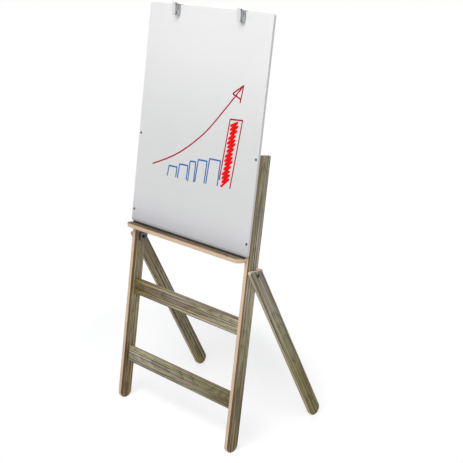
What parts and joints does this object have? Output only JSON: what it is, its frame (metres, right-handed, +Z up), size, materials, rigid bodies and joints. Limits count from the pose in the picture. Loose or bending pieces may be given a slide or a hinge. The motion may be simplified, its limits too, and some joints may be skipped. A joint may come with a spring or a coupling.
{
  "type": "children's standing easel",
  "caption": "Standing wooden easel for a child: a leaning frame with a dry-wipe board and pen shelf, folding rear legs and sprung paper clips on the board's top edge.",
  "frame": {"origin": "middle of the easel's footprint on the floor: half way across, and half way between its frontmost and rearmost points, with all four feet on z = 0", "axes": "+X to the right of a child who faces the board, +Y to the back, towards the rear legs, +Z up"},
  "size_m": [0.5328, 0.375, 1.2242],
  "materials": {
    "timber": "satin",
    "dowel_wood": "satin",
    "board_face": "gloss",
    "clip_steel": "satin",
    "screw_steel": "satin",
    "plate_steel": "satin",
    "dark_steel": "satin"
  },
  "bodies": {
    "front_frame": {"writing_board": "board_face", "pen_shelf": "timber", "upper_rail": "timber", "lower_rail": "timber", "board_screws": "screw_steel", "shelf_dowels": "dowel_wood", "stop_blocks": "dowel_wood", "pivot_washers": "screw_steel", "pivot_plates": "plate_steel", "pivot_nuts": "dark_steel", "pivot_bolts": "dark_steel", "clip_screws": "screw_steel", "left_upright": "timber", "right_upright": "timber", "left_clip_body": "clip_steel", "left_clip_pin": "clip_steel", "right_clip_body": "clip_steel", "right_clip_pin": "clip_steel"},
    "left_rear_leg": {"left_rear_leg": "timber"},
    "right_rear_leg": {"right_rear_leg": "timber"},
    "left_clip_lever": {"left_clip_lever": "clip_steel", "left_clip_spring": "screw_steel"},
    "right_clip_lever": {"right_clip_lever": "clip_steel", "right_clip_spring": "screw_steel"}
  },
  "joints": [
    {"name": "left_leg_fold", "type": "hinge", "parent": "front_frame", "child": "left_rear_leg", "pos_m": [-0.2573, -0.07425, 0.51455], "axis": [-1, 0, 0], "range_deg": [0, 35.5]},
    {"name": "right_leg_fold", "type": "hinge", "parent": "front_frame", "child": "right_rear_leg", "pos_m": [0.2573, -0.07425, 0.51455], "axis": [-1, 0, 0], "range_deg": [0, 35.5]},
    {"name": "left_clip_open", "type": "hinge", "parent": "front_frame", "child": "left_clip_lever", "pos_m": [-0.124, -0.00502, 1.20692], "axis": [-1, 0, 0], "range_deg": [0, 15], "stiffness_Nm_per_rad": 0.15, "springref_deg": -28.65},
    {"name": "right_clip_open", "type": "hinge", "parent": "front_frame", "child": "right_clip_lever", "pos_m": [0.141, -0.00502, 1.20692], "axis": [-1, 0, 0], "range_deg": [0, 15], "stiffness_Nm_per_rad": 0.15, "springref_deg": -28.65}
  ]
}
